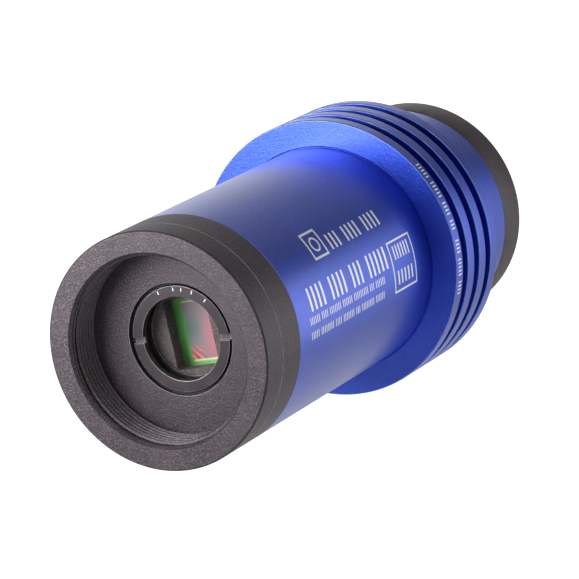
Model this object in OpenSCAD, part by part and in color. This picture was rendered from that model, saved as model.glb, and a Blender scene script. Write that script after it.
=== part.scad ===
// Planetary and guide camera in the form of a 1.25 inch eyepiece.
// Millimetres. The optical axis is Y: the open nose faces -Y and the rear cover faces +Y.
// The origin is on the axis, in the plane of the shoulder that the nose is pushed in to.
// Distances called "depth" are measured back from the front face of the nose.

/* [Barrel] */
// Diameter of the nose, the chamber ring, the tail and the rear cover
barrel_d = 31.75; // [31.75:0.05:40]
// Length from the front face of the nose to the shoulder
nose_len = 49.3; // [40:0.1:70]
// Wall of the nose tube and of the tail
tube_wall = 1.875; // [1.5:0.025:2.4]
// Edge break on the turned parts
edge = 0.25; // [0.1:0.05:0.4]

/* [Cooling fins] */
// Height of the fins above the barrel
fin_rise = 3.825; // [3:0.025:8]
// Number of fins
fin_count = 4; // [2:1:6]
// Width of one fin
fin_land = 2.0; // [1.2:0.1:2.6]
// Width of one groove
fin_groove = 1.84; // [1:0.02:2.6]
// Depth of the grooves
fin_depth = 2.2; // [1:0.1:2.2]

/* [Tail] */
// Length of the plain tail behind the fins
tail_len = 11.7; // [9:0.1:20]
// Visible length of the rear cover
cover_len = 6.0; // [5:0.1:8]

/* [Nose ring and chamber ring] */
// Visible length of the nose ring
ring_len = 4.27; // [3.5:0.01:5.2]
// Visible length of the chamber ring
chamber_len = 4.93; // [4.5:0.01:7]
// Major diameter of the lens thread
lens_thread_d = 25.4; // [21:0.05:26.4]
// Step from the lens thread out to the mouth
mouth_step = 0.33; // [0.1:0.01:0.6]
// Depth of the chamber floor
floor_depth = 6.2; // [5.7:0.05:8]
// Wall between the lens thread and the thread of the spigot around it
spigot_wall = 1.5; // [1:0.05:1.7]

/* [Window] */
// Outer diameter of the window retaining ring
keeper_d = 14.2; // [13.4:0.05:17.2]
// Inner diameter of the window retaining ring
keeper_bore = 11.24; // [11:0.02:12]
// Thickness of the window retaining ring
keeper_h = 1.0; // [0.8:0.05:1.2]
// Step of the retaining ring below the chamber floor
keeper_sink = 0.25; // [0.1:0.05:0.5]
// Width of the spanner slots
slot_w = 0.8; // [0.5:0.05:1.2]
// Angle of the line through the two spanner slots
slot_angle = -4; // [-45:1:45]
// Thickness of the window glass
glass_h = 1.0; // [0.6:0.05:1.1]

/* [Sensor] */
// Gap between the sensor's cover glass and its surface
sensor_gap = 0.19; // [0.1:0.01:0.6]
// Active length, along Z
active_long = 7.68; // [4.8:0.04:8]
// Active width, along X
active_short = 4.32; // [3.6:0.04:5]
// Offset of the active area from the optical axis, X and Z
sensor_shift = [0.1, -0.2];
// Opening in the mask, X and Z
mask_opening = [6.4, 9.4];

/* [Electronics] */
// Thickness of both circuit boards
board_t = 1.2; // [0.8:0.1:1.6]
// Face of the main board that carries the processor, from the optical axis
board_x = 2.0; // [1.6:0.1:2.4]
// Side of the square processor
processor_w = 14; // [10:0.5:14]
// Width and height of the data socket's shell
usb_size = [8.94, 3.26];
// Height, width and length of the guide socket
guide_size = [11, 13.2, 13.9];

/* [Fits] */
// Radial gap between a thread and its hole
thread_gap = 0.05; // [0.03:0.01:0.08]
// Face gap between pieces that turn on each other
turn_gap = 0.02; // [0.01:0.005:0.04]
// Gap between the nose ring and the chamber ring
seam = 0.04; // [0.02:0.01:0.08]

/* [Hidden] */
$fn = 96;

r_body = barrel_d / 2;
r_bore = r_body - tube_wall;
r_thread = lens_thread_d / 2;
r_spigot = r_thread + spigot_wall;
r_fin = r_body + fin_rise;
fine = 0.1;                                  // smallest edge break
small_fn = 32;                               // facets on screws and pins

// Stations along the axis, as depths
chamber_front = ring_len + seam;
nose_seam = ring_len + chamber_len;
spigot_end = floor_depth - 0.1;
keeper_front = floor_depth + keeper_sink;
keeper_back = keeper_front + keeper_h;
relief_depth = keeper_front + 0.4;           // where the wide gap around the keeper ends
slip_front = keeper_back + turn_gap;
slip_h = 0.1;
glass_front = slip_front + slip_h + turn_gap;
glass_back = glass_front + glass_h;
seal_h = 0.4;
ledge_depth = glass_back + seal_h;
mask_front = ledge_depth + 0.2;
mask_step = ledge_depth + 1.4;
mask_back = mask_step + 0.9;
cover_glass_front = mask_back + 0.02;
cover_glass_h = 0.3;
package_front = cover_glass_front + cover_glass_h;
sensor_depth = package_front + sensor_gap;
die_h = 0.1;
package_floor = sensor_depth + die_h;
package_h = 0.8;
sensor_board_front = package_floor + package_h;
sensor_board_back = sensor_board_front + board_t;
chamber_end = sensor_board_back + 0.1;
shoulder = nose_len;
tube_seat = shoulder + 0.1;                  // the nose tube's full diameter ends in a shallow recess
tube_end = shoulder + 6.7;
fin_pitch = fin_land + fin_groove;
collar_end = shoulder + fin_pitch * (fin_count - 1) + fin_land;
tail_end = collar_end + tail_len;
cover_end = tail_end + cover_len;
cover_floor = tail_end + 1.5;                // inner face of the rear cover's end wall
cover_spigot = tail_end - 4;                 // front of the rear cover's spigot

// Radii that follow the bore
r_keeper = keeper_d / 2;
r_pocket = r_keeper + thread_gap;            // hole that the keeper screws into
r_relief = r_keeper + 0.46;                  // wide gap round the keeper's front edge
r_ledge = keeper_bore / 2 - 0.02;
r_socket = r_spigot + thread_gap;
r_insert = r_bore - thread_gap;              // spigots that fit the bore
r_chamber_wall = r_insert - 1.55;            // inside of the chamber ring's spigot
r_groove = r_insert - 0.75;                  // floor of the seal grooves
r_tube_spigot = r_bore + 1.0;
seal_r = 0.38;
seal_width = 1.0;

// Sensor board screws
screw_r = 0.8;
screw_hole = screw_r + 0.1;
screw_tap = screw_r + 0.02;
screw_place = (r_chamber_wall - 2.08) / sqrt(2);
sensor_corners = [for (x = [-1, 1], z = [-1, 1]) [x * screw_place, z * screw_place]];

// Main board
board_half = r_bore - 1.4;                   // half the board's width, along Z
board_back = board_x + board_t;              // the face on the +X side
board_start = chamber_end + 6;
tongue_half = r_bore - 4.5;
board_end = cover_spigot - 0.5;
tongue_end = cover_floor - 0.2;
processor_depth = shoulder + 7.2;            // middle of the processor
processor_h = 1.4;
pad_t = 0.5;
spreader_face = board_x - processor_h - pad_t;
spreader_half = 8;                           // half the heat spreader's length
post_z = processor_w / 2 + 2.6;
posts = [for (d = [-6, 6], z = [-1, 1]) [processor_depth + d, z * post_z]];
connector_depth = board_start + 2;
connector_len = 4;
flex_x = board_x - 1.0;

// Rear sockets
usb_front = cover_end - 7.6;
usb_back = cover_end - 0.3;
usb_mid = board_back + usb_size[1] / 2;
usb_wall = 0.32;
guide_mid = -1.6;                            // middle of the guide socket, along Z
guide_back = cover_end - 0.6;
guide_front = guide_back - guide_size[2];
guide_low = board_x - guide_size[0];
guide_hollow = [6.7, 9.9, 12];
guide_hollow_x = guide_low + 1.4;
pipe_r = 1.0;
pipe_x = board_x - 0.9;
pipe_z = tongue_half - 1.5;
bracket_z = tongue_half - 2.1;
bracket_w = 3.6;
bracket_rise = 4.8;
foot_t = 1.2;
cover_screw_x = board_back + 3.0;
foot_screw = cover_spigot - 2;

black = "#353236";
ring_black = "#2b2a2d";
blue = "#3a55b4";
green = "#3f8f4a";
gold = "#c9a646";
steel = "#a9acb0";
chip = "#222225";

// ---- helpers -------------------------------------------------------------

// A turned part from points [radius, depth]
module lathe(points)
    translate([0, -nose_len, 0]) rotate([-90, 0, 0]) rotate_extrude() polygon(points);

// A round seal of section radius r about the axis
module o_ring(ring_r, depth, r)
    translate([0, depth - nose_len, 0]) rotate([-90, 0, 0])
        rotate_extrude() translate([ring_r, 0]) circle(r = r, $fn = small_fn);

// A round bar along the axis direction, at x and z
module bar(x, z, from, to, r, fn = small_fn)
    translate([x, from - nose_len, z]) rotate([-90, 0, 0]) cylinder(r = r, h = to - from, $fn = fn);

// A cone along the axis direction, at x and z
module cone(x, z, from, to, r1, r2)
    translate([x, from - nose_len, z]) rotate([-90, 0, 0])
        cylinder(r1 = r1, r2 = r2, h = to - from, $fn = small_fn);

// A box given by its limits
module block(x, depth, z)
    translate([x[0], depth[0] - nose_len, z[0]])
        cube([x[1] - x[0], depth[1] - depth[0], z[1] - z[0]]);

// A round bar along X, at a depth and z
module cross_bar(from, to, depth, z, r)
    translate([from, depth - nose_len, z]) rotate([0, 90, 0])
        cylinder(r = r, h = to - from, $fn = small_fn);

// A bar of rounded rectangular section, from one depth to another
module round_block(mid, size, corner, depth) {
    half = size / 2;
    inner = [half[0] - corner, half[1] - corner];
    for (s = [-1, 1], t = [-1, 1])
        bar(mid[0] + s * inner[0], mid[1] + t * inner[1], depth[0], depth[1], corner);
    block([mid[0] - half[0], mid[0] + half[0]], depth, [mid[1] - inner[1], mid[1] + inner[1]]);
    block([mid[0] - inner[0], mid[0] + inner[0]], depth, [mid[1] - half[1], mid[1] + half[1]]);
}

// ---- nose ----------------------------------------------------------------

module nose_ring() color(ring_black) lathe([
    [r_thread + mouth_step, 0], [r_body - edge, 0], [r_body, edge], [r_body, ring_len - fine],
    [r_body - fine, ring_len], [r_spigot, ring_len],
    [r_spigot, ring_len + 0.4], [r_spigot - 0.6, ring_len + 0.4],
    [r_spigot - 0.6, ring_len + 1.0], [r_spigot, ring_len + 1.0],
    [r_spigot, spigot_end - fine], [r_spigot - fine, spigot_end],
    [r_thread, spigot_end], [r_thread, 0.5]]);

module nose_seal() color(chip) o_ring(r_spigot - 0.31, ring_len + 0.7, 0.27);

module chamber_ring() color(black) difference() {
    lathe([
        [r_socket, chamber_front], [r_body - fine, chamber_front], [r_body, chamber_front + fine],
        [r_body, nose_seam - fine], [r_body - fine, nose_seam], [r_insert, nose_seam],
        [r_insert, mask_step], [r_groove, mask_step],
        [r_groove, mask_step + seal_width], [r_insert, mask_step + seal_width],
        [r_insert, chamber_end - fine], [r_insert - fine, chamber_end],
        [r_chamber_wall, chamber_end], [r_chamber_wall, mask_step],
        [r_ledge, mask_step], [r_ledge, ledge_depth], [r_pocket, ledge_depth],
        [r_pocket, relief_depth], [r_relief, relief_depth],
        [r_relief, floor_depth], [r_socket, floor_depth]]);
    for (p = sensor_corners) bar(p[0], p[1], mask_step - 2.5, mask_step + 1, screw_tap);
}

module chamber_seal() color(chip)
    o_ring(r_groove + seal_r + 0.01, mask_step + seal_width / 2, seal_r);

module window_keeper() color(black) difference() {
    lathe([
        [keeper_bore / 2, keeper_front + fine], [keeper_bore / 2 + fine, keeper_front],
        [r_keeper - fine, keeper_front], [r_keeper, keeper_front + fine],
        [r_keeper, keeper_back], [keeper_bore / 2, keeper_back]]);
    rotate([0, -slot_angle, 0])
        block([-r_keeper - 1, r_keeper + 1], [keeper_front - 1, keeper_front + keeper_h / 2],
            [-slot_w / 2, slot_w / 2]);
}

module slip_ring() color("#1c1c1e") lathe([
    [keeper_bore / 2 + 0.08, slip_front], [r_keeper - 0.1, slip_front],
    [r_keeper - 0.1, slip_front + slip_h], [keeper_bore / 2 + 0.08, slip_front + slip_h]]);

module window_glass() color("#cfe0e6", 0.35) lathe([
    [0, glass_front], [r_keeper - 0.1, glass_front], [r_keeper - 0.1, glass_back], [0, glass_back]]);

module window_seal() color(chip) lathe([
    [keeper_bore / 2 + 0.13, glass_back], [r_keeper - 0.15, glass_back],
    [r_keeper - 0.15, ledge_depth], [keeper_bore / 2 + 0.13, ledge_depth]]);

// ---- sensor --------------------------------------------------------------

module sensor_mask() color("#2a2728") difference() {
    lathe([
        [0, mask_front], [r_ledge - 0.05, mask_front], [r_ledge - 0.05, mask_step],
        [r_chamber_wall - 0.1, mask_step], [r_chamber_wall - 0.1, mask_back], [0, mask_back]]);
    round_block([0, 0], mask_opening, 0.6, [mask_front - 1, mask_back + 1]);
    for (p = sensor_corners) bar(p[0], p[1], mask_front - 1, mask_back + 1, screw_hole);
}

module sensor_cover_glass() color("#cfd8e6", 0.3)
    block([-4.8, 4.8], [cover_glass_front, package_front], [-6, 6]);

module sensor_package() color(green) difference() {
    block([-4.9, 4.9], [package_front, sensor_board_front], [-6.1, 6.1]);
    block([-4.2, 4.2], [package_front - 1, package_floor], [-5.4, 5.4]);
}

module sensor_die() color("#9a8f96") translate([sensor_shift[0], 0, sensor_shift[1]])
    block([-active_short / 2, active_short / 2], [sensor_depth, package_floor],
        [-active_long / 2, active_long / 2]);

module bond_strips() color(gold) for (s = [-1, 1])
    translate([sensor_shift[0], 0, sensor_shift[1] + s * (active_long / 2 + 0.13)])
        block([-active_short / 2 + 0.1, active_short / 2 - 0.1], [sensor_depth + 0.02, package_floor],
            [-fine, fine]);

module sensor_board() color(green) difference() {
    bar(0, 0, sensor_board_front, sensor_board_back, r_chamber_wall - 0.2, 96);
    for (p = sensor_corners)
        bar(p[0], p[1], sensor_board_front - 1, sensor_board_back + 1, screw_hole);
}

module board_spacers() color(steel) for (p = sensor_corners) difference() {
    bar(p[0], p[1], mask_back, sensor_board_front, screw_r + 0.7);
    bar(p[0], p[1], mask_back - 1, sensor_board_front + 1, screw_hole);
}

module sensor_screws() color(steel) for (p = sensor_corners) {
    bar(p[0], p[1], mask_step - 2.2, sensor_board_back, screw_r);
    difference() {
        bar(p[0], p[1], sensor_board_back, sensor_board_back + 1, screw_r + 0.7);
        bar(p[0], p[1], sensor_board_back + 0.4, sensor_board_back + 2, 0.45, 6);
    }
}

module sensor_connector() color("#e8e2d2")
    block([flex_x - 2.5, flex_x + 2.5], [sensor_board_back, sensor_board_back + 1.5], [-4, 4]);

// The ribbon bows sideways by one smooth wave between its two connectors
module flex_cable() color("#b5762a") {
    from = sensor_board_back + 1.5;
    to = connector_depth;
    bow = 2.2;
    half_t = 0.12;
    steps = 24;
    side = [for (i = [0:steps])
        [flex_x - bow * pow(sin(180 * i / steps), 2), from + (to - from) * i / steps]];
    edge_points = concat(
        [for (p = side) [p[0] - half_t, p[1] - nose_len]],
        [for (i = [steps:-1:0]) [side[i][0] + half_t, side[i][1] - nose_len]]);
    translate([0, 0, -3]) linear_extrude(6) polygon(edge_points);
}

module main_connector() color("#e8e2d2")
    block([board_x - 2, board_x], [connector_depth, connector_depth + connector_len], [-4, 4]);

// ---- tubes ---------------------------------------------------------------

module nose_tube() color(blue) lathe([
    [r_bore, nose_seam], [r_body - fine, nose_seam], [r_body, nose_seam + fine],
    [r_body, tube_seat], [r_tube_spigot, tube_seat], [r_tube_spigot, tube_end],
    [r_bore, tube_end]]);

module finned_housing() color(blue) {
    chamfer = 0.15;
    fins = [for (i = [0:fin_count - 1], s = [0:5]) let (d = shoulder + i * fin_pitch)
        s == 0 ? [i == 0 ? r_body + 0.2 : r_fin - fin_depth, d] :
        s == 1 ? [r_fin - chamfer, d] :
        s == 2 ? [r_fin, d + chamfer] :
        s == 3 ? [r_fin, d + fin_land - fine] :
        s == 4 ? [r_fin - fine, d + fin_land] :
        [i == fin_count - 1 ? r_body : r_fin - fin_depth, d + fin_land]];
    lathe(concat(
        [[r_tube_spigot + thread_gap, tube_seat], [r_body + thread_gap, tube_seat]], fins,
        [[r_body, tail_end - fine], [r_body - fine, tail_end], [r_bore, tail_end],
         [r_bore, tube_end + 0.1], [r_tube_spigot + thread_gap, tube_end + 0.1]]));
}

// ---- electronics ---------------------------------------------------------

module main_board() color("#1f6b3a") difference() {
    union() {
        block([board_x, board_back], [board_start, board_end], [-board_half, board_half]);
        block([board_x, board_back], [board_end - 1, tongue_end], [-tongue_half, tongue_half]);
    }
    for (p = posts) cross_bar(board_x - 1, board_back + 1, p[0], p[1], screw_hole);
    for (s = [-1, 1])
        cross_bar(board_x - 1, board_back + 1, foot_screw, s * bracket_z, screw_tap);
}

module processor_chip() color(chip)
    block([board_x - processor_h, board_x],
        [processor_depth - processor_w / 2, processor_depth + processor_w / 2],
        [-processor_w / 2, processor_w / 2]);

module memory_chips() color(chip) for (z = [-10.2, 0.6])
    block([board_x - 1, board_x], [shoulder - 12, shoulder - 3.5], [z, z + 9]);

module usb_chip() color(chip)
    block([board_back, board_back + 0.9], [shoulder + 9, shoulder + 17], [-4, 4]);

module power_coils() color("#4a4a4e") for (z = [-9, -3.5, 2])
    block([board_back, board_back + 2.4], [board_start + 8, board_start + 12], [z, z + 4]);

module capacitors() color("#b08a5c") for (i = [0:5], s = [-1, 1])
    block([board_back, board_back + 0.9],
        [board_start + 15 + 2.4 * i, board_start + 16.6 + 2.4 * i], [s * 6 - 0.4, s * 6 + 0.4]);

module crystal() color(steel)
    block([board_x - 0.8, board_x], [board_start + 10, board_start + 13.2], [-1.25, 1.25]);

module thermal_pad() color("#8fa3b8")
    block([spreader_face, spreader_face + pad_t],
        [processor_depth - processor_w / 2, processor_depth + processor_w / 2],
        [-processor_w / 2, processor_w / 2]);

module heat_spreader() color(steel) {
    from = processor_depth - spreader_half;
    to = processor_depth + spreader_half;
    r_out = r_bore - thread_gap;
    difference() {
        bar(0, 0, from, to, r_out, 96);
        block([spreader_face, r_bore + 1], [from - 1, to + 1], [-r_bore - 1, r_bore + 1]);
        intersection() {
            bar(0, 0, from - 1, to + 1, r_out - 2.5, 96);
            block([-r_bore, spreader_face - 2], [from - 2, to + 2], [-r_bore, r_bore]);
        }
        for (p = posts) cross_bar(spreader_face - 1.7, board_x + 1, p[0], p[1], screw_tap);
    }
    for (p = posts) difference() {
        cross_bar(spreader_face, board_x, p[0], p[1], 1.8);
        cross_bar(spreader_face - 1, board_x + 1, p[0], p[1], screw_tap);
    }
}

module spreader_screws() color(steel) for (p = posts) {
    cross_bar(spreader_face - 1.2, board_back, p[0], p[1], screw_r);
    cross_bar(board_back, board_back + 1, p[0], p[1], screw_r + 0.7);
}

// ---- rear ----------------------------------------------------------------

module rear_cover() color(ring_black) difference() {
    lathe([
        [0, cover_floor], [r_insert - 1.35, cover_floor], [r_insert - 1.35, cover_spigot],
        [r_insert, cover_spigot],
        [r_insert, cover_spigot + 1.2], [r_groove, cover_spigot + 1.2],
        [r_groove, cover_spigot + 1.2 + seal_width], [r_insert, cover_spigot + 1.2 + seal_width],
        [r_insert, tail_end], [r_body - fine, tail_end], [r_body, tail_end + fine],
        [r_body, cover_end - 0.7], [r_body - 0.7, cover_end], [0, cover_end]]);
    round_block([usb_mid, 0], [usb_size[1] + 0.2, usb_size[0] + 0.2], 1.2,
        [cover_floor - 1, cover_end + 1]);
    block([guide_low - 0.1, board_x + 0.1], [cover_floor - 1, cover_end + 1],
        [guide_mid - guide_size[1] / 2 - 0.1, guide_mid + guide_size[1] / 2 + 0.1]);
    bar(pipe_x, pipe_z, cover_floor - 1, cover_end + 1, pipe_r + 0.03);
    for (s = [-1, 1]) {
        bar(cover_screw_x, s * bracket_z, cover_floor - 1, cover_end + 1, 1.05);
        cone(cover_screw_x, s * bracket_z, cover_end - 1, cover_end + 0.01, 1.05, 2.06);
    }
}

module rear_seal() color(chip)
    o_ring(r_groove + seal_r + 0.01, cover_spigot + 1.2 + seal_width / 2, seal_r);

module cover_brackets() color(steel) for (s = [-1, 1]) difference() {
    union() {
        block([board_back, board_back + foot_t], [foot_screw - 2, cover_floor],
            [s * bracket_z - bracket_w / 2, s * bracket_z + bracket_w / 2]);
        block([board_back, board_back + bracket_rise], [cover_floor - 1.4, cover_floor],
            [s * bracket_z - bracket_w / 2, s * bracket_z + bracket_w / 2]);
    }
    bar(cover_screw_x, s * bracket_z, cover_floor - 3, cover_floor + 1, 1.02);
    cross_bar(board_back - 1, board_back + foot_t + 1, foot_screw, s * bracket_z, screw_hole);
}

module bracket_screws() color(steel) for (s = [-1, 1]) {
    cross_bar(board_x, board_back + foot_t, foot_screw, s * bracket_z, screw_r);
    cross_bar(board_back + foot_t, board_back + foot_t + 1, foot_screw, s * bracket_z, screw_r + 0.7);
}

module cover_screws() color("#1d1d1f") for (s = [-1, 1]) difference() {
    union() {
        bar(cover_screw_x, s * bracket_z, cover_floor - 2, cover_end, 1.0);
        cone(cover_screw_x, s * bracket_z, cover_end - 1, cover_end, 1.0, 2.0);
    }
    bar(cover_screw_x, s * bracket_z, cover_end - 0.7, cover_end + 1, 0.65, 6);
}

module usb_shell() color("#c9ccd0") difference() {
    round_block([usb_mid, 0], [usb_size[1], usb_size[0]], usb_size[1] / 2 - 0.01,
        [usb_front, usb_back]);
    round_block([usb_mid, 0], [usb_size[1] - 2 * usb_wall, usb_size[0] - 2 * usb_wall],
        usb_size[1] / 2 - usb_wall - 0.01, [usb_front + 0.8, usb_back + 1]);
}

module usb_tongue() color(chip)
    block([usb_mid - 0.35, usb_mid + 0.35], [usb_front + 0.8, usb_back - 0.7], [-3.3, 3.3]);

module usb_contacts() color(gold) for (i = [0:11], s = [-1, 1])
    block([usb_mid + s * 0.38 - 0.03, usb_mid + s * 0.38 + 0.03],
        [usb_back - 5.2, usb_back - 1], [-2.75 + 0.5 * i - 0.12, -2.75 + 0.5 * i + 0.12]);

module guide_socket() color(chip) difference() {
    block([guide_low, board_x], [guide_front, guide_back],
        [guide_mid - guide_size[1] / 2, guide_mid + guide_size[1] / 2]);
    block([guide_hollow_x, guide_hollow_x + guide_hollow[0]],
        [guide_back - guide_hollow[2], guide_back + 1],
        [guide_mid - guide_hollow[1] / 2, guide_mid + guide_hollow[1] / 2]);
    block([guide_hollow_x - 0.9, guide_hollow_x + 1], [guide_back - 7, guide_back + 1],
        [guide_mid - 1.7, guide_mid + 1.7]);
}

module guide_contacts() color(gold) for (i = [0:5])
    block([guide_hollow_x + guide_hollow[0] - 0.25, guide_hollow_x + guide_hollow[0]],
        [guide_back - 9, guide_back - 1.5],
        [guide_mid - 2.55 + 1.02 * i - 0.15, guide_mid - 2.55 + 1.02 * i + 0.15]);

module status_led() color("#d8e8ff")
    block([board_x - 0.8, board_x], [tongue_end - 1.4, tongue_end], [pipe_z - 0.6, pipe_z + 0.6]);

module light_pipe() color("#e6eef2", 0.6)
    bar(pipe_x, pipe_z, tongue_end, cover_end, pipe_r);

nose_ring();
nose_seal();
chamber_ring();
chamber_seal();
window_keeper();
slip_ring();
window_glass();
window_seal();
sensor_mask();
sensor_cover_glass();
sensor_package();
sensor_die();
bond_strips();
sensor_board();
board_spacers();
sensor_screws();
sensor_connector();
flex_cable();
main_connector();
nose_tube();
finned_housing();
main_board();
processor_chip();
memory_chips();
usb_chip();
power_coils();
capacitors();
crystal();
thermal_pad();
heat_spreader();
spreader_screws();
rear_cover();
rear_seal();
cover_brackets();
bracket_screws();
cover_screws();
usb_shell();
usb_tongue();
usb_contacts();
guide_socket();
guide_contacts();
status_led();
light_pipe();
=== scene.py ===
"""Planetary and guide camera in the form of an eyepiece barrel: the looks of its pieces, and the stage."""
import math

import bmesh
import bpy
import numpy as np
from mathutils import Matrix, Vector


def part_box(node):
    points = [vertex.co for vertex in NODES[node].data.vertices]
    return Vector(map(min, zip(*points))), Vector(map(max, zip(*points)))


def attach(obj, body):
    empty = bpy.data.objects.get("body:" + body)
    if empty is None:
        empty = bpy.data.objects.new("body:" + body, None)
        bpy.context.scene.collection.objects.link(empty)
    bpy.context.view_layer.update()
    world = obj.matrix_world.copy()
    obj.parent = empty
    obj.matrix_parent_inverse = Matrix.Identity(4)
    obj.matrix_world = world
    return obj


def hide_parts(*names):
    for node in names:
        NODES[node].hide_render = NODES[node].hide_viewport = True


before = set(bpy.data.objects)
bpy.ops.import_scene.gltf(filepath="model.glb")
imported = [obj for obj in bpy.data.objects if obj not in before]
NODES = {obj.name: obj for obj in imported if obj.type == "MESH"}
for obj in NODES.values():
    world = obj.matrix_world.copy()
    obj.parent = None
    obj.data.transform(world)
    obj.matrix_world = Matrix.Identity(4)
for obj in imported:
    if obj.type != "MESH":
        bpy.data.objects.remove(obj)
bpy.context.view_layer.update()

bl_info = {
    "name": "Barrel camera",
    "version": (1, 0, 0),
    "blender": (4, 5, 0),
    "location": "View3D > Sidebar > Barrel camera",
    "description": "Builds the turned shells, markings and finishes of a camera in an eyepiece barrel",
    "category": "Object",
}

MM = 0.001
FRONT_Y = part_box("nose_ring")[0].y / MM          # the front face's place along the axis


def size_of(node):
    """The low and high corners of a CAD node's box as (x, depth, z) in millimetres. The depth is measured
    back from the front face, here and in every outline below."""
    return [np.array((v.x / MM, v.y / MM - FRONT_Y, v.z / MM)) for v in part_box(node)]


RING = size_of("nose_ring")
CHAMBER = size_of("chamber_ring")
KEEPER = size_of("window_keeper")
TUBE = size_of("nose_tube")
HOUSING = size_of("finned_housing")
GLASS = size_of("window_glass")
MASK = size_of("sensor_mask")
BODY_R = float(RING[1][2])
FIN_R = float(HOUSING[1][2])
SHOULDER = float(HOUSING[0][1])

# Radii and depths, in millimetres, that the boxes don't show
THREAD_PITCH = 25.4 / 32
THREAD_ROOT_R = 12.7
SOCKET_R = 14.25         # the chamber ring's socket for the nose ring
SEAM_DEPTH = 9.2         # where the chamber ring meets the tube
FLOOR_DEPTH = 6.2        # the floor round the window ring
LEDGE_R = 5.6            # the opening in the ledge under the window
BORE_R = 14.0            # the inside of the tube and of the housing
JOINT_R = 15.0           # the tube's spigot in the housing
JOINT_GAP = 0.05
JOINT_DEPTH = 56.1       # the end of the housing's socket for the tube
RECESS = 0.1             # of the collar's face round the tube


# ---- sizes and colours a user may change -------------------------------------


def millimetres(name, description, default, low, high):
    """A size in millimetres, with its limits."""
    return bpy.props.FloatProperty(
        name=name, description=description + ", in millimetres", default=default, min=low, max=high)


def metres(name, description, default):
    """A distance in metres."""
    return bpy.props.FloatProperty(name=name, description=description, default=default, unit="LENGTH")


def degrees(name, description, default):
    """An angle, with its default in degrees."""
    return bpy.props.FloatProperty(
        name=name, description=description, default=math.radians(default), subtype="ANGLE", unit="ROTATION")


def tint(name, description, default):
    """A colour."""
    return bpy.props.FloatVectorProperty(
        name=name, description=description, default=default, subtype="COLOR", min=0, max=1)


def brightness(name, description, default):
    """A brightness, which has no unit."""
    return bpy.props.FloatProperty(
        name=name, description="Brightness of the " + description, default=default)


class BarrelSizes(bpy.types.PropertyGroup):
    """Fine sizes of the turned pieces."""

    segments: bpy.props.IntProperty(
        name="Segments", description="Facets round each turned piece", default=256, min=64, max=360)
    edge_round: millimetres("Edge rounding", "Radius of the broken edges", 0.08, 0.01, 0.2)
    thread_height: millimetres("Thread height", "Height of the lens thread above its root", 0.42, 0.1, 0.5)
    slot_depth: millimetres("Spanner slot depth", "Depth of the two slots in the window ring", 0.5, 0.1, 0.8)
    slot_width: millimetres("Spanner slot width", "Width of the two slots in the window ring", 0.8, 0.3, 1.2)
    slot_angle: degrees("Slot line angle", "Angle of the line through the two slots", -4)
    mark_proud: millimetres("Marking height", "Height of the markings above the surface", 0.012, 0.005, 0.03)


class BarrelColours(bpy.types.PropertyGroup):
    """Colours of the visible finishes."""

    blue: tint("Blue anodising", "Dye of the tube and the finned housing", (0.032, 0.078, 0.52))
    # Broken edges are lightened partly by wear and partly by a painted glint, in these two colours.
    blue_edge_wear_and_glint: tint("Blue edges", "Colour of the thin film on broken edges", (0.22, 0.30, 0.80))
    black: tint("Black anodising", "Dye of the rings and the rear cover", (0.045, 0.034, 0.042))
    black_edge_wear_and_glint: tint("Black edges", "Colour of the thin film on broken edges of black pieces",
                     (0.40, 0.39, 0.41))
    marking: tint("Markings", "Colour of the bars and dashes on the barrel", (0.92, 0.94, 1.0))
    package: tint("Sensor carrier", "Green of the sensor's carrier", (0.20, 0.60, 0.17))


class BarrelStage(bpy.types.PropertyGroup):
    """The floor, the lights and the camera."""

    aim: bpy.props.FloatVectorProperty(
        name="Aim", description="Point that the view is aimed at", subtype="TRANSLATION", unit="LENGTH",
        default=(-0.001447, -0.009915, -0.001706), precision=6)
    distance: metres("Distance", "From the camera to the aim", 0.48)
    azimuth: degrees("Azimuth", "Turn of the view from straight ahead of the nose", 29.627)
    elevation: degrees("Elevation", "Height of the view above the level of the barrel", 9.487)
    roll: degrees("Roll", "Tilt of the camera about its line of sight", -12.643)
    lens: bpy.props.FloatProperty(
        name="Lens", description="Focal length, in millimetres on a 36 mm sensor", default=217.72)
    floor_drop: metres("Floor", "Distance of the floor below the axis", 0.09)
    floor_glow: brightness("Floor, seen", "lit floor to the lens", 1.0)
    floor_bounce: brightness("Floor, bounced", "lit floor to the pieces", 0.32)
    key: brightness("Key light", "soft light at the front left", 10.4)
    back: brightness("Back light", "soft light behind the left side", 0.78)
    side: brightness("Side light", "soft light behind the right side", 1.6)
    over: brightness("Upper light", "soft light above and behind", 0.2)
    fill: brightness("Fill light", "soft light above the front right", 2.2)
    air: brightness("Surroundings", "plain surroundings to the pieces", 0.2)


# ---- surfaces ----------------------------------------------------------------


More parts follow.
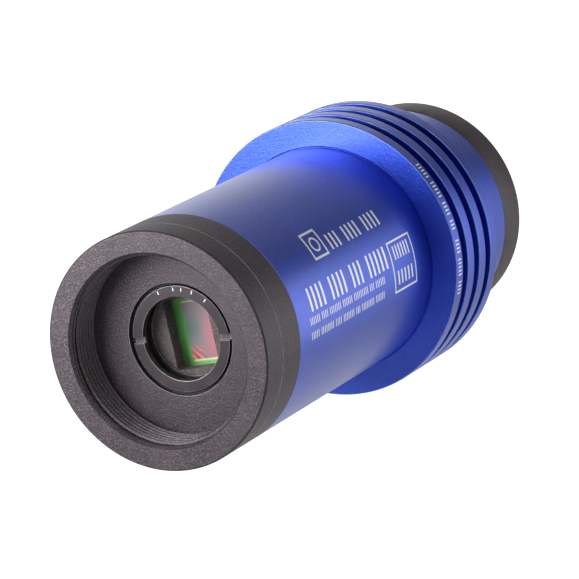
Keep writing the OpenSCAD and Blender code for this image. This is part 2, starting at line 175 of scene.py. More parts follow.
def rounded(points, steps=4):
    """A closed outline of (radius, depth, rounding) corners, in millimetres, with each corner replaced by
    an arc: the arc's centre lies on the corner's bisector at rounding / sin(half angle), and its points are
    turned evenly from one tangent point to the other. Returns the outline and each point's mark. The mark is
    1 on a convex arc, lightened by edge wear and a painted glint, or the corner's own fourth value, which is
    below 0 where shade is painted. A corner of -1 has painted shade at its tangent points too."""
    given = [len(p) > 3 for p in points]
    own_mark = np.array([p[3] if len(p) > 3 else 0.0 for p in points])
    data = np.array([p[:3] for p in points], float)
    corner, size = data[:, :2], data[:, 2]
    back, on = np.roll(corner, 1, 0) - corner, np.roll(corner, -1, 0) - corner
    back_len, on_len = np.linalg.norm(back, axis=1), np.linalg.norm(on, axis=1)
    back, on = back / back_len[:, None], on / on_len[:, None]
    half = np.arccos(np.clip((back * on).sum(1), -1, 1)) / 2
    limit = 0.45 * np.minimum(back_len, on_len)
    reach = np.minimum(size / np.tan(half), limit)
    radius = reach * np.tan(half)
    middle = back + on
    middle /= np.linalg.norm(middle, axis=1)[:, None]
    centre = corner + middle * (radius / np.sin(half))[:, None]
    first = corner + back * reach[:, None] - centre
    last = corner + on * reach[:, None] - centre
    turn = (math.pi - 2 * half)[:, None, None]
    share = np.linspace(0, 1, steps + 1)[None, :, None]
    arc = (np.sin((1 - share) * turn) * first[:, None] + np.sin(share * turn) * last[:, None]) / np.sin(turn)
    outline = (centre[:, None] + arc).reshape(-1, 2)
    area = np.sum(corner[:, 0] * np.roll(corner[:, 1], -1) - np.roll(corner[:, 0], -1) * corner[:, 1])
    bend = -back[:, 0] * on[:, 1] + back[:, 1] * on[:, 0]
    mark = np.zeros((len(corner), steps + 1))
    # Convex arcs get 1, lightened by edge wear and a painted glint; corners given a value below 0 get
    # painted shade.
    mark[:, 1:-1] = np.where(given, own_mark, bend * area > 0)[:, None]
    mark[own_mark == -1] = -1.0
    return outline, mark.ravel()


def grid_faces(rows, columns, wrap_rows=True, wrap_columns=True):
    """Four-sided faces of a grid of points, with each row joined to the next and each column to the next."""
    r = np.arange(rows if wrap_rows else rows - 1)
    c = np.arange(columns if wrap_columns else columns - 1)
    r, c = np.meshgrid(r, c, indexing="ij")
    r1, c1 = (r + 1) % rows, (c + 1) % columns
    corners = [r * columns + c, r * columns + c1, r1 * columns + c1, r1 * columns + c]
    return np.stack(corners, -1).reshape(-1, 4)


def put_mesh(name, points, faces, marks=None, smooth=True):
    """A mesh object from points in metres and faces as rows of four indices. A point's normal is the sum of
    its faces' normals times their areas, so flats stay flat and only the narrow arcs turn."""
    p = points.reshape(-1, 3)
    a, b, c, d = (p[faces[:, k]] for k in range(4))
    area = np.cross(c - a, d - b)
    volume = (a * (np.cross(b, c) + np.cross(c, d))).sum()
    if volume < 0:
        faces, area = faces[:, ::-1], -area
    mesh = bpy.data.meshes.new(name)
    mesh.from_pydata(p.tolist(), [], faces.tolist())
    if marks is not None:
        layer = mesh.attributes.new("edge", "FLOAT", "POINT")
        layer.data.foreach_set("value", np.asarray(marks, np.float32).ravel())
    if smooth:
        normal = np.zeros_like(p)
        for k in range(4):
            np.add.at(normal, faces[:, k], area)
        normal /= np.maximum(np.linalg.norm(normal, axis=1), 1e-30)[:, None]
        mesh.polygons.foreach_set("use_smooth", np.ones(len(faces), bool))
        mesh.normals_split_custom_set_from_vertices(normal.tolist())
    mesh.update()
    return linked(bpy.data.objects.new(name, mesh))


def linked(made):
    """Puts a new object into the scene."""
    bpy.context.scene.collection.objects.link(made)
    return made


def place(radius, depth, angle):
    """Points in metres from radius and depth in millimetres and an angle about the axis."""
    radius, depth, angle = np.broadcast_arrays(radius, depth, angle)
    return np.stack([radius * np.cos(angle), depth + FRONT_Y, radius * np.sin(angle)], -1) * MM


def turned(name, points):
    """A turned piece: the rounded outline of (radius, depth, rounding) corners, carried round the axis."""
    outline, mark = rounded(points)
    count = bpy.context.scene.barrel_sizes.segments
    angle = np.linspace(0, 2 * math.pi, count, endpoint=False)
    shape = place(outline[:, 0:1], outline[:, 1:2], angle[None])
    marks = np.repeat(mark[:, None], count, 1)
    return put_mesh(name, shape, grid_faces(len(outline), count), marks)


def merged(node, name, width):
    """A copy of a CAD node's triangles with its doubled points merged and flat areas joined. A narrow bevel
    of a width in millimetres rounds its edges."""
    mesh = NODES[node].data.copy()
    mesh.name = name
    work = bmesh.new()
    work.from_mesh(mesh)
    bmesh.ops.remove_doubles(work, verts=work.verts, dist=2e-6)
    bmesh.ops.dissolve_limit(work, angle_limit=math.radians(0.4), verts=work.verts, edges=work.edges)
    for face in work.faces:
        face.smooth = True
    work.to_mesh(mesh)
    work.free()
    mesh.materials.clear()
    made = linked(bpy.data.objects.new(name, mesh))
    bevel = made.modifiers.new("Broken edges", "BEVEL")
    bevel.width = width * MM
    bevel.segments = 2
    bevel.limit_method = "ANGLE"
    bevel.angle_limit = math.radians(30)
    bevel.harden_normals = True
    return made


def own(made, body, replaced, finish):
    """A finished piece: it rides on its body, stands for its CAD nodes and takes its slot's finish."""
    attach(made, body)
    if replaced:
        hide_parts(*replaced)
    made.data.materials.clear()
    made.data.materials.append(finish)
    return made


# ---- shader trees --------------------------------------------------------------


def wire(tree, socket, value):
    """Feeds a shader input from another socket, or sets it to a plain value."""
    if isinstance(value, bpy.types.NodeSocket):
        tree.links.new(value, socket)
    else:
        socket.default_value = value


def add(tree, kind, at=(0, 0), **values):
    """A node of one kind, with its inputs and settings given by name."""
    made = tree.nodes.new(kind)
    made.location = at
    for key, value in values.items():
        label = key.replace("_", " ")
        if label in made.inputs:
            wire(tree, made.inputs[label], value)
        else:
            setattr(made, key, value)
    return made


def flat(colour, strength=1.0):
    """A colour times a strength, with its alpha."""
    return tuple(min(1.0, c * strength) for c in tuple(colour)[:3]) + (1.0,)


def maths(tree, operation, *values, at=(0, -800), clamp=False):
    """The result of a Math node. Each value is a socket or a number."""
    made = add(tree, "ShaderNodeMath", at, operation=operation, use_clamp=clamp)
    for socket, value in zip(made.inputs, values):
        wire(tree, socket, value)
    return made.outputs[0]


def mapped(tree, source, low, high, to_low=0.0, to_high=1.0, at=(-600, -700)):
    """A number's range mapped to another range, and held at its ends."""
    return add(tree, "ShaderNodeMapRange", at, Value=source, From_Min=low, From_Max=high, To_Min=to_low,
               To_Max=to_high).outputs[0]


def mixed(tree, factor, first, second, at=(200, -600)):
    """Two colours mixed by a factor. Each is a socket or plain numbers."""
    made = add(tree, "ShaderNodeMix", at, data_type="RGBA")
    wire(tree, made.inputs[0], factor)
    for index, value in ((6, first), (7, second)):
        wire(tree, made.inputs[index], value if isinstance(value, bpy.types.NodeSocket) else flat(value))
    return made.outputs[2]


def object_place(tree, at=(-800, -200)):
    """The place in the object."""
    return add(tree, "ShaderNodeTexCoord", at).outputs["Object"]


def noise(tree, where, scale, detail, rough=0.5, at=(-500, 0)):
    """The value of a noise texture."""
    return add(tree, "ShaderNodeTexNoise", at, Vector=where, Scale=scale, Detail=detail,
               Roughness=rough).outputs["Fac"]


# ---- shader groups -------------------------------------------------------------


def group_tree(name, inputs, outputs):
    """An empty shader group with its named sockets: its tree, its input sockets and its output node."""
    tree = bpy.data.node_groups.new(name, "ShaderNodeTree")
    for label, value in inputs.items():
        kind = "Float" if isinstance(value, float) else "Color"
        socket = tree.interface.new_socket(name=label, in_out="INPUT", socket_type="NodeSocket" + kind)
        socket.default_value = value
    for label in outputs:
        kind = "Color" if label == "Color" else "Float"
        tree.interface.new_socket(name=label, in_out="OUTPUT", socket_type="NodeSocket" + kind)
    return tree, add(tree, "NodeGroupInput", (-800, 0)).outputs, add(tree, "NodeGroupOutput", (600, 0))


def put_out(tree, result, **values):
    """Feeds a group's output sockets by name, and returns its tree."""
    for label, value in values.items():
        wire(tree, result.inputs[label], value)
    return tree


def blast_group():
    """Grain and sparkle of a blasted surface: two sizes of noise added as a height, and light specks from
    the finer one, partly grain and partly painted sparkle.
    """
    tree, given, result = group_tree(
        "Blasted grain and sparkle", {"Scale": 5200.0, "Speckle": 0.5}, ("Height", "Speckle"))
    where = object_place(tree)
    broad_scale = maths(tree, "MULTIPLY", given["Scale"], 0.31, at=(-650, -300))
    fine = noise(tree, where, given["Scale"], 3.0, 0.65, at=(-500, 100))
    broad = noise(tree, where, broad_scale, 2.0, at=(-500, -200))
    height = maths(tree, "MULTIPLY_ADD", broad, 0.6, fine, at=(-200, 0))
    # The specks, where the fine noise is high, are partly grain and partly painted sparkle.
    specks = mapped(tree, fine, 0.50, 0.70, at=(0, -200))
    speckle_sparkle = maths(tree, "MULTIPLY", specks, given["Speckle"], at=(200, -200))
    return put_out(tree, result, Height=height, Speckle=speckle_sparkle)


def mottle_group():
    """Mottle: broad soft noise that mixes two colours, and moves the roughness by the same share."""
    tree, given, result = group_tree(
        "Mottle",
        {"Color A": (0.1, 0.1, 0.1, 1.0), "Color B": (0.2, 0.2, 0.2, 1.0), "Scale": 160.0, "Roughness": 0.4,
         "Spread": 0.06},
        ("Color", "Roughness"))
    cloud = noise(tree, object_place(tree), given["Scale"], 4.0, 0.6)
    even = mapped(tree, cloud, 0.28, 0.72, at=(-250, 0))
    centred = maths(tree, "SUBTRACT", even, 0.5, at=(-50, -200))
    rough = maths(tree, "MULTIPLY_ADD", centred, given["Spread"], given["Roughness"], at=(150, -200))
    colour = mixed(tree, even, given["Color A"], given["Color B"], at=(100, 100))
    return put_out(tree, result, Color=colour, Roughness=rough)


def edge_group():
    """Edge wear, glint and shade: the piece's edge mark broken up by noise, times an amount, lightens edges
    by wear and a painted glint. Marks below 0 give the mask of painted shade."""
    tree, given, result = group_tree("Edge wear, glint and shade", {"Amount": 0.7, "Scale": 900.0}, ("Mask", "Dark"))
    mark = add(tree, "ShaderNodeAttribute", (-800, -200), attribute_name="edge").outputs["Fac"]
    cloud = noise(tree, object_place(tree, (-800, -400)), given["Scale"], 3.0, at=(-500, -300))
    broken = mapped(tree, cloud, 0.3, 0.6, 0.45, at=(-250, -300))
    edge_wear_and_painted_light = maths(tree, "MULTIPLY", mark, broken, at=(0, -200))
    mask = maths(tree, "MULTIPLY", edge_wear_and_painted_light, given["Amount"], at=(250, 0), clamp=True)
    painted_shade = maths(tree, "MULTIPLY", mark, -1.0, at=(250, -300), clamp=True)
    return put_out(tree, result, Mask=mask, Dark=painted_shade)


def lathe_group():
    """Tool lines: fine rings round the axis and along it, faded in and out by noise, as a height."""
    tree, given, result = group_tree("Tool lines", {"Scale": 1500.0}, ("Height",))
    where = object_place(tree)
    rings = add(tree, "ShaderNodeTexWave", (-500, 100), wave_type="RINGS", rings_direction="Y",
                Vector=where, Scale=given["Scale"], Distortion=0.4, Detail=2.0)
    bands = add(tree, "ShaderNodeTexWave", (-500, -250), wave_type="BANDS", bands_direction="Y",
                Vector=where, Scale=given["Scale"], Distortion=0.3, Detail=2.0)
    both = maths(tree, "ADD", rings.outputs["Fac"], bands.outputs["Fac"], at=(-200, 0))
    fade = noise(tree, where, 300.0, 2.0, at=(-500, -600))
    return put_out(tree, result, Height=maths(tree, "MULTIPLY", both, fade, at=(100, 0)))


GROUP_MAKERS = {"Blasted grain and sparkle": blast_group, "Mottle": mottle_group, "Edge wear, glint and shade": edge_group,
                "Tool lines": lathe_group}
GROUPS = {}


def group(tree, name, at, **values):
    """One of the shared groups, built when it is first asked for, and placed with its own values."""
    if name not in GROUPS:
        GROUPS[name] = GROUP_MAKERS[name]()
    made = tree.nodes.new("ShaderNodeGroup")
    made.node_tree = GROUPS[name]
    made.location = at
    for key, value in values.items():
        wire(tree, made.inputs[key.replace("_", " ")], value)
    return made


FINISHES = {}
# Painted shade: where edge marks are below 0, a finish's colour is mixed down to this share of it.
PAINTED_SHADE_SHARE = 0.12         # share of a finish's colour that is left on a dark edge


def principled(tree):
    """The Principled shader of a material's tree."""
    return next(n for n in tree.nodes if n.type == "BSDF_PRINCIPLED")


def finish(name, low, high, rough=0.4, spread=0.08, mottle=160.0, grain=5200.0, bump=0.01, speckle_sparkle=0.0,
           speckle_sparkle_to=(0.5, 0.5, 0.5), edge=0.0, edge_to=(0.6, 0.6, 0.6), lines=0.0, line_scale=1500.0,
           **plain):
    """A finish: mottled colour and roughness, a fine grain as bump, light specks from it that are partly
    painted sparkle, tool lines, edges lighter from wear and a painted glint, and painted shade on edge marks
    below 0. Any other value is a plain input of the Principled shader."""
    if name in FINISHES:
        return FINISHES[name]
    made = bpy.data.materials.new(name)
    made.use_nodes = True
    tree = made.node_tree
    tree.nodes.clear()
    broad = group(tree, "Mottle", (-400, 200), Color_A=flat(low), Color_B=flat(high), Scale=mottle,
                  Roughness=rough, Spread=spread)
    fine = group(tree, "Blasted grain and sparkle", (-400, -200), Scale=grain, Speckle=speckle_sparkle)
    colour = broad.outputs["Color"]
    # Light specks from the grain: partly grain tone and partly painted sparkle.
    if speckle_sparkle:
        colour = mixed(tree, fine.outputs["Speckle"], colour, speckle_sparkle_to, at=(-100, 200))
    # The edge mask lightens edges by wear and a painted glint; the shade mask paints shade on marks below 0.
    if edge:
        edge_wear_and_painted_light = group(tree, "Edge wear, glint and shade", (-400, 450), Amount=edge)
        colour = mixed(tree, edge_wear_and_painted_light.outputs["Mask"], colour, edge_to, at=(150, 300))
        colour = mixed(tree, edge_wear_and_painted_light.outputs["Dark"], colour, flat(low, PAINTED_SHADE_SHARE), at=(350, 450))
    height = fine.outputs["Height"]
    if lines:
        cut = group(tree, "Tool lines", (-400, -500), Scale=line_scale)
        height = maths(tree, "MULTIPLY_ADD", cut.outputs["Height"], lines, height, at=(0, -400))
    relief = add(tree, "ShaderNodeBump", (300, -300), Distance=bump * MM, Height=height)
    shader = add(tree, "ShaderNodeBsdfPrincipled", (600, 0), Base_Color=colour,
                 Roughness=broad.outputs["Roughness"], Normal=relief.outputs[0], **plain)
    add(tree, "ShaderNodeOutputMaterial", (900, 0), Surface=shader.outputs[0])
    FINISHES[name] = made
    return made


def black_anodised():
    """Blasted and black anodised aluminium, a little warm, with broken edges lighter from wear and a painted
    glint, light specks partly painted as sparkle, and painted shade on edge marks below 0.
    """
    c = bpy.context.scene.barrel_colours
    return finish("Black anodised", flat(c.black, 0.75), flat(c.black, 1.25), rough=0.44, spread=0.05,
                  mottle=220.0, grain=4800.0, bump=0.06, speckle_sparkle=0.45, speckle_sparkle_to=flat(c.black, 5.5),
                  edge=0.8, edge_to=c.black_edge_wear_and_glint, Metallic=0.3, Specular_IOR_Level=0.6)


def ring_anodised():
    """Finely turned black anodised aluminium of the window ring, with tool lines."""
    c = bpy.context.scene.barrel_colours
    return finish("Window ring black", flat(c.black, 0.7), flat(c.black, 1.0), rough=0.36, mottle=300.0,
                  grain=7000.0, bump=0.008, edge=0.9, edge_to=c.black_edge_wear_and_glint, lines=1.2, line_scale=2200.0,
                  Metallic=0.4, Specular_IOR_Level=0.6)


def blue_anodised():
    """Blasted and blue anodised aluminium under a clear sealed film, with broken edges lighter from wear and
    a painted glint, and light specks partly painted as sparkle.
    """
    c = bpy.context.scene.barrel_colours
    return finish("Blue anodised", flat(c.blue, 0.9), flat(c.blue, 1.1), rough=0.36, spread=0.05,
                  mottle=140.0, grain=4600.0, bump=0.05, speckle_sparkle=0.55, speckle_sparkle_to=(0.07, 0.18, 0.95),
                  edge=0.75, edge_to=c.blue_edge_wear_and_glint, Metallic=1.0, Coat_Weight=0.8, Coat_Roughness=0.28,
                  Coat_IOR=1.45)


# ---- the turned shells -------------------------------------------------------


def thread_wave(phase):
    """Height of a sixty-degree thread from 0 at its root to 1 at its crest, with a flat on each."""
    return np.clip((0.5 - np.abs(phase % 1 - 0.5)) * 2.9 - 0.55, 0, 1)


def nose_ring_shape():
    """The nose ring's outline carried round the axis. On its inner wall the radius is the root's less the
    thread's height times the wave of (depth / pitch + turn), which fades out at both ends. Crests are marked
    for a painted highlight and roots for painted shade."""
    s = bpy.context.scene.barrel_sizes
    e = s.edge_round
    lead, lead_width = 0.5, 0.33
    spigot, groove = 14.2, 13.6
    back = float(RING[1][1])
    seat = float(CHAMBER[0][1]) - 0.04
    # The lead chamfer's corners and the front outer edge carry marks below 0: painted shade on them.
    outline, mark = rounded([
        (THREAD_ROOT_R, lead, 0.03, -0.6), (THREAD_ROOT_R + lead_width, 0.0, 0.06, -0.4),
        (BODY_R, 0.0, 0.26, -0.7), (BODY_R, seat, e), (spigot, seat, 0.02), (spigot, seat + 0.4, 0.05),
        (groove, seat + 0.4, 0.05), (groove, seat + 1.0, 0.05), (spigot, seat + 1.0, 0.05),
        (spigot, back, e), (THREAD_ROOT_R, back, 0.03)], 5)
    wall = np.linspace(outline[-1], outline[0], 116)[1:-1]
    outline = np.concatenate([outline, wall])
    mark = np.concatenate([mark, np.zeros(len(wall))])
    angle = np.linspace(0, 2 * math.pi, s.segments, endpoint=False)[None]
    depth = outline[:, 1:2]
    on_wall = (np.arange(len(outline)) >= len(outline) - len(wall))[:, None]
    fade = np.clip((depth - 0.62) / 0.5, 0, 1) * np.clip((back - 0.15 - depth) / 0.4, 0, 1)
    wave = thread_wave(depth / THREAD_PITCH + angle / (2 * math.pi)) * fade * on_wall
    shape = place(outline[:, 0:1] - s.thread_height * wave, depth, angle)
    # Marks of 1.4 paint a highlight on the thread's crests, and marks of -1 paint shade in its roots.
    marks = mark[:, None] + 1.4 * (wave > 0.97) - on_wall * (fade > 0.9) * (wave < 0.12)
    return put_mesh("nose_ring_turned", shape, grid_faces(len(outline), s.segments), marks)


def chamber_ring_shape():
    """The chamber ring's outline carried round the axis, with its socket, floor and window ledge."""
    e = bpy.context.scene.barrel_sizes.edge_round
    front, back = float(CHAMBER[0][1]), float(CHAMBER[1][1])
    fit, groove, inner = 13.95, 13.25, 12.4
    step = float(MASK[1][1]) - 0.9
    ledge = float(GLASS[1][1]) + 0.4
    well = float(KEEPER[1][0]) + 0.05
    rim, rim_depth = well + 0.41, FLOOR_DEPTH + 0.65
    return turned("chamber_ring_turned", [
        (SOCKET_R, front, 0.03), (BODY_R, front, e), (BODY_R, SEAM_DEPTH, e), (fit, SEAM_DEPTH, 0.02),
        (fit, step, 0.03), (groove, step, 0.03), (groove, step + 1, 0.03), (fit, step + 1, 0.03),
        (fit, back, e), (inner, back, 0.03), (inner, step, 0.05), (LEDGE_R, step, 0.03),
        # The groove round the window ring, at its floor corners, is marked -1: painted shade in the gap.
        (LEDGE_R, ledge, 0.05), (well, ledge, 0.03), (well, rim_depth, 0.05, -1), (rim, rim_depth, 0.05, -1),
        (rim, FLOOR_DEPTH, 0.06), (SOCKET_R, FLOOR_DEPTH, 0.06)])


def window_keeper_shape():
    """The window ring's outline carried round the axis. A point at radius r beside a slot lies at the angle
    whose sine is its distance from the slot's middle over r, so the slots have parallel sides. In a slot the
    depths are pressed towards the back by the slot's depth. The front's rims and the slots' edges are marked
    for painted glints, the slot floors a little lighter, and the outer wall, in the groove, for painted
    shade."""
    s = bpy.context.scene.barrel_sizes
    outer, inner = float(KEEPER[1][0]), 5.62
    front, back = float(KEEPER[0][1]), float(KEEPER[1][1])
    outline, _ = rounded([
        (inner, back, 0.03), (inner, front, 0.1), (outer, front, 0.1), (outer, back, 0.03)])
    half, low = s.slot_width / 2, s.slot_depth
    flare, bend = 0.05, 0.012
    side = np.array([[half + flare, 0], [half + bend, bend], [half, flare], [half, low - flare],
                     [half - bend, low - bend], [half - flare, low]])
    across = np.concatenate([side, [[0, low]], side[::-1] * [-1, 1]])
    share = np.linspace(0, 1, 98)[1:-1]
    radius, along = outline[:, 0:1], outline[:, 1:2]
    cut = -np.arcsin(np.clip(across[None, :, 0] / radius, -1, 1))
    wide = np.arcsin((half + flare) / radius)
    plain = wide + (math.pi - 2 * wide) * share[None]
    angle = np.concatenate([cut, plain, cut + math.pi, plain + math.pi], 1)
    sunk = np.tile(np.concatenate([across[:, 1], np.zeros(len(share))]), 2)[None]
    depth = front + sunk + (along - front) * (1 - sunk / (back - front))
    shape = place(radius, depth, angle + s.slot_angle)
    # Painted glints on the front's rims and the slots' lips, slot floors a little lighter, and painted shade
    # (-1) on the outer wall in the groove.
    rim = (np.abs(along - front) < 0.06) & (np.minimum(radius - inner, outer - radius) < 0.09)
    lip = np.abs(sunk - 0.03) < 0.03
    light = np.clip(0.8 * rim + lip + 0.2 * (sunk > low - 0.02), 0, 1)
    wall = (radius > outer - 0.005) & (along > front + 0.09)
    marks = np.where(wall, -1.0, light * np.ones_like(angle))
    return put_mesh("window_ring_turned", shape, grid_faces(len(outline), angle.shape[1]), marks)


def nose_tube_shape():
    """The nose tube's outline carried round the axis."""
    e = bpy.context.scene.barrel_sizes.edge_round
    front, back = float(TUBE[0][1]), float(TUBE[1][1])
    seat = SHOULDER + RECESS
    return turned("nose_tube_turned", [
        (BORE_R, front, 0.02), (BODY_R, front, e), (BODY_R, seat, 0.02), (JOINT_R, seat, 0.02),
        (JOINT_R, back, 0.05), (BORE_R, back, 0.05)])


def housing_shape():
    """The finned housing's outline, with one step out and one in for each fin, carried round the axis."""
    back = float(HOUSING[1][1])
    fins, land, pitch = 4, 2.0, 3.84
    root = FIN_R - 2.2
    socket = JOINT_R + JOINT_GAP
    corners = [(socket, SHOULDER + RECESS, 0.01), (BODY_R + JOINT_GAP, SHOULDER + RECESS, 0.01)]
    for k in range(fins):
        start = SHOULDER + k * pitch
        before = (BODY_R + 0.2, start, 0.02) if k == 0 else (root, start, 0.12)
        behind = BODY_R if k == fins - 1 else root
        corners += [before, (FIN_R, start, 0.16), (FIN_R, start + land, 0.12), (behind, start + land, 0.12)]
    edge = bpy.context.scene.barrel_sizes.edge_round
    corners += [(BODY_R, back, edge), (BORE_R, back, 0.05), (BORE_R, JOINT_DEPTH, 0.03),
                (socket, JOINT_DEPTH, 0.03)]
    return turned("finned_housing_turned", corners)


# ---- markings ----------------------------------------------------------------


def boxes(name, points):
    """Bars from an array of (bar, station, corner of four): each bar's section is carried along its
    stations, and both its ends are closed."""
    count, stations = points.shape[:2]
    ends = np.array([[3, 2, 1, 0], [4 * stations - 4, 4 * stations - 3, 4 * stations - 2, 4 * stations - 1]])
    one = np.concatenate([grid_faces(stations, 4, False, True), ends])
    faces = (one[None] + (np.arange(count) * 4 * stations)[:, None, None]).reshape(-1, 4)
    return put_mesh(name, points, faces, smooth=False)


def inlay(name, bars, radius):
    """Thin raised bars on a cylinder. Each bar is (s0, t0, s1, t1, width) in millimetres on the unrolled
    surface, s along the axis and t round it. Its section is a flat box, and the box's corners are carried
    from one end of the bar to the other and then wrapped: angle = t / radius."""
    bars = np.array(bars, float)
    start, end, width = bars[:, 0:2], bars[:, 2:4], bars[:, 4]
    along = end - start
    along /= np.linalg.norm(along, axis=1)[:, None]
    across = np.stack([-along[:, 1], along[:, 0]], 1)
    share = np.linspace(0, 1, 9)[None, :, None, None]
    middle = start[:, None, None] * (1 - share) + end[:, None, None] * share
    side = np.array([-0.5, 0.5, 0.5, -0.5])[None, None, :, None] * width[:, None, None, None]
    unrolled = middle + side * across[:, None, None]
    proud = bpy.context.scene.barrel_sizes.mark_proud
    lift = np.array([proud, proud, -0.03, -0.03])[None, None]
    return boxes(name, place(radius + lift, unrolled[..., 0], unrolled[..., 1] / radius))


def frame_bars(s, t, width, height, stroke):
    """The four bars of an upright frame."""
    a, b, c, d = s + stroke / 2, s + width - stroke / 2, t + stroke / 2, t + height - stroke / 2
    return [(s, c, s + width, c, stroke), (s, d, s + width, d, stroke), (a, t, a, t + height, stroke),
            (b, t, b, t + height, stroke)]


def comb(s, t, length, height, stroke, pitch, skip=()):
    """Evenly spaced upright bars over a length, with some places left empty."""
    count = int(length / pitch) + 1
    places = s + stroke / 2 + np.linspace(0, length - stroke, count)
    return [(x, t, x, t + height, stroke) for k, x in enumerate(places) if k not in skip]


def dashes(s, t, lengths, height, stroke, gap):
    """A run of groups of short uprights. A group's length is in uprights, and a gap parts the groups."""
    bars = []
    for count in lengths:
        places = [s + stroke / 2 + k * gap for k in range(count)]
        bars += [(x, t, x, t + height, stroke) for x in places]
        s += (count + 0.8) * gap
    return bars


def barrel_marks():
    """The bars of the barrel's markings, unrolled: s is the depth and t the distance round from the side."""
    def up(angle):
        return math.radians(angle) * BODY_R
    bars = frame_bars(19.1, up(20.3), 4.05, up(14.5), 0.32)
    ring = np.linspace(0, 2 * math.pi, 17)
    ring_s, ring_t = 21.12 + 0.95 * np.cos(ring), up(27.5) + 0.95 * np.sin(ring)
    bars += [(ring_s[k], ring_t[k], ring_s[k + 1], ring_t[k + 1], 0.3) for k in range(16)]
    bars += comb(24.4, up(21.2), 14.4, up(8.1), 0.42, 1.15, (3, 8))
    bars += comb(13.4, up(0.0), 23.0, up(11.2), 0.50, 1.22, (4, 9, 13))
    bars += frame_bars(37.6, up(-13.9), 6.9, up(25.5), 0.26)
    bars += comb(38.8, up(2.0), 4.5, up(6.9), 0.32, 0.85)
    bars += comb(38.8, up(-10.4), 4.5, up(6.9), 0.36, 0.95)
    bars += dashes(12.5, up(-5.9), (6, 4, 7, 6, 9, 3, 6), up(3.6), 0.17, 0.49)
    bars += dashes(12.5, up(-12.8), (5, 8, 4, 7, 3, 8, 6), up(3.6), 0.17, 0.48)
    return bars


def fin_marks():
    """The bars of the marks on the first fin: two runs of short bars across the land."""
    def run(high, low, skip):
        angle = np.radians(np.arange(high, low, -1.55))
        return [(SHOULDER + 0.55, a * FIN_R, SHOULDER + 1.5, a * FIN_R, 0.2)
                for k, a in enumerate(angle) if k not in skip]
    return run(34.5, 4.0, (5, 11, 16)) + run(0.0, -22.5, (4, 10))


def ring_glint_ticks():
    """Five short light strokes on the front of the window ring: painted glints, raised in the marking
    colour. Each stroke's section is a flat box, and its four corners are carried from its inner end to its
    outer end."""
    angle = np.radians([106.3, 86.0, 75.7, 62.3, 44.1])[:, None, None]
    radius = np.linspace(6.36, 6.84, 3)[None, :, None]
    side = np.array([-0.06, 0.06, 0.06, -0.06])[None, None]
    lift = np.array([-0.008, -0.008, 0.02, 0.02])[None, None]
    x = radius * np.cos(angle) - side * np.sin(angle)
    z = radius * np.sin(angle) + side * np.cos(angle)
    y = float(KEEPER[0][1]) + lift + np.zeros_like(x)
    return boxes("window_ring_glint_ticks", np.stack([x, y + FRONT_Y, z], -1) * MM)


# ---- finishes of the carried-over CAD nodes ----------------------------------


COATS = 3                # times that a pattern is laid on, each over the last


def dress(material, *nodes):
    """Gives CAD nodes a finish."""
    for name in nodes:
        data = NODES[name].data
        data.materials.clear()
        data.materials.append(material)


def patterned(material, pattern):
    """Lays a pattern over a finish's colour. The pattern gets the tree and the colour's socket, and returns
    the new colour. Laying it on more than once makes its soft edges firmer."""
    tree = material.node_tree
    base = principled(tree).inputs["Base Color"]
    for _ in range(COATS):
        tree.links.new(pattern(tree, base.links[0].from_socket), base)
    return material


def split_axes(tree):
    """The place in the object as three numbers."""
    where = object_place(tree, (-900, -700))
    return add(tree, "ShaderNodeSeparateXYZ", (-700, -700), Vector=where).outputs


def product(tree, first, second):
    """Two numbers multiplied."""
    return maths(tree, "MULTIPLY", first, second)


def silicon():
    """The sensor's surface: a mauve film that turns grey-green at low X and rose at high X, with a red patch
    and pale streaks in the corner of low X and low Z."""
    low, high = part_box("sensor_die")
    made = finish("Sensor silicon", (0.18, 0.13, 0.15), (0.26, 0.18, 0.2), rough=0.3, spread=0.04,
                  mottle=500.0, grain=9000.0, bump=0.002, Metallic=0.1, Coat_Weight=0.25, Coat_Roughness=0.2)

    def pattern(tree, colour):
        axes = split_axes(tree)
        down = mapped(tree, axes["Z"], high.z, low.z)
        across = mapped(tree, axes["X"], low.x, high.x, at=(-600, -1000))
        middle = product(tree, mapped(tree, down, 0.05, 0.42), mapped(tree, down, 0.85, 0.5))
        left = product(tree, middle, mapped(tree, across, 0.8, 0.3))
        right = product(tree, mapped(tree, down, 0.15, 0.5), mapped(tree, across, 0.4, 0.85))
        corner = product(tree, mapped(tree, down, 0.72, 0.95), mapped(tree, across, 0.5, 0.15))
        film = mixed(tree, 0.85, colour, (0.34, 0.255, 0.29))
        film = mixed(tree, left, film, (0.15, 0.20, 0.195))
        film = mixed(tree, right, film, (0.56, 0.20, 0.23))
        red = mixed(tree, corner, film, (0.62, 0.035, 0.05), at=(400, -700))
        streaks = add(tree, "ShaderNodeTexWave", (-600, -1300), bands_direction="DIAGONAL",
                      Vector=object_place(tree, (-900, -1300)), Scale=620.0, Distortion=3.0, Detail=2.0)
        thin = mapped(tree, streaks.outputs["Fac"], 0.72, 0.9)
        return mixed(tree, product(tree, corner, thin), red, (0.95, 0.72, 0.58), at=(500, -900))

    return patterned(made, pattern)


